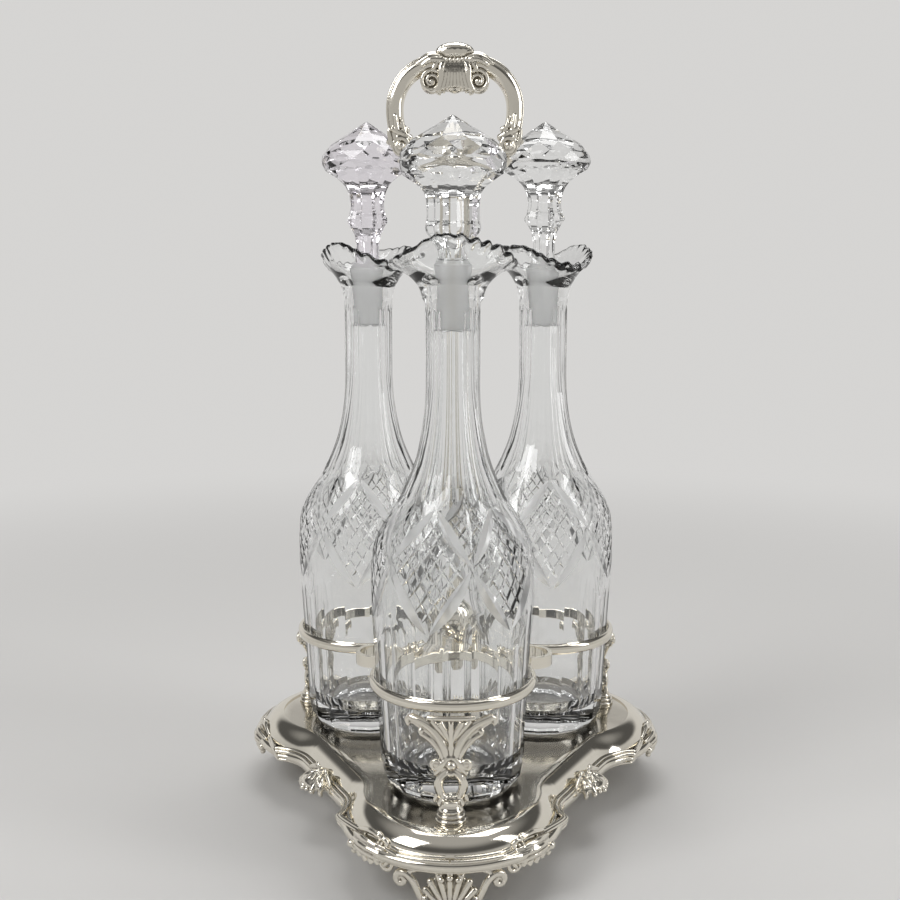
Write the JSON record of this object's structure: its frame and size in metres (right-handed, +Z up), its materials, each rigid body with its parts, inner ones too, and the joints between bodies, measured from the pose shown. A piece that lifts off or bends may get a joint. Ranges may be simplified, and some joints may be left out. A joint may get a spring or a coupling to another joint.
{
  "type": "decanter stand with three decanters",
  "caption": "Lobed silver-plate decanter stand on shell feet, with ring holders, a central scroll handle and fluted cut-glass decanters with lift-out stoppers.",
  "frame": {"origin": "middle of the stand's box, on the surface it stands on", "axes": "+Z up; -Y towards the front decanter; +X to the right as seen from the front"},
  "size_m": [0.2624, 0.2398, 0.438],
  "materials": {
    "silver_plate": "polished",
    "clear_glass": "polished"
  },
  "bodies": {
    "stand": {"base_tray": "silver_plate", "bracket_front": "silver_plate", "bracket_left": "silver_plate", "bracket_right": "silver_plate", "column": "silver_plate", "column_knop": "silver_plate", "column_nut": "silver_plate", "corner_mount_front_far": "silver_plate", "corner_mount_front_near": "silver_plate", "corner_mount_left_far": "silver_plate", "corner_mount_left_near": "silver_plate", "corner_mount_right_far": "silver_plate", "corner_mount_right_near": "silver_plate", "foot_front": "silver_plate", "foot_left": "silver_plate", "foot_right": "silver_plate", "handle_bow_left": "silver_plate", "handle_bow_right": "silver_plate", "handle_crest": "silver_plate", "handle_yoke": "silver_plate", "rim_moulding": "silver_plate", "ring_front": "silver_plate", "ring_hub": "silver_plate", "ring_left": "silver_plate", "ring_right": "silver_plate", "side_mount_back": "silver_plate", "side_mount_left": "silver_plate", "side_mount_right": "silver_plate", "stopper_ring_back": "silver_plate", "stopper_ring_left": "silver_plate", "stopper_ring_right": "silver_plate"},
    "decanter_front": {"decanter_front": "clear_glass"},
    "stopper_front": {"stopper_front": "clear_glass"},
    "decanter_right": {"decanter_right": "clear_glass"},
    "stopper_right": {"stopper_right": "clear_glass"},
    "decanter_left": {"decanter_left": "clear_glass"},
    "stopper_left": {"stopper_left": "clear_glass"}
  },
  "joints": [
    {"name": "decanter_front_lift", "type": "slide", "parent": "stand", "child": "decanter_front", "axis": [0, 0, 1], "range_m": [0, 0.066]},
    {"name": "stopper_front_lift", "type": "slide", "parent": "decanter_front", "child": "stopper_front", "axis": [0, 0, 1], "range_m": [0, 0.06]},
    {"name": "decanter_right_lift", "type": "slide", "parent": "stand", "child": "decanter_right", "axis": [0, 0, 1], "range_m": [0, 0.066]},
    {"name": "stopper_right_lift", "type": "slide", "parent": "decanter_right", "child": "stopper_right", "axis": [0, 0, 1], "range_m": [0, 0.06]},
    {"name": "decanter_left_lift", "type": "slide", "parent": "stand", "child": "decanter_left", "axis": [0, 0, 1], "range_m": [0, 0.066]},
    {"name": "stopper_left_lift", "type": "slide", "parent": "decanter_left", "child": "stopper_left", "axis": [0, 0, 1], "range_m": [0, 0.06]}
  ]
}
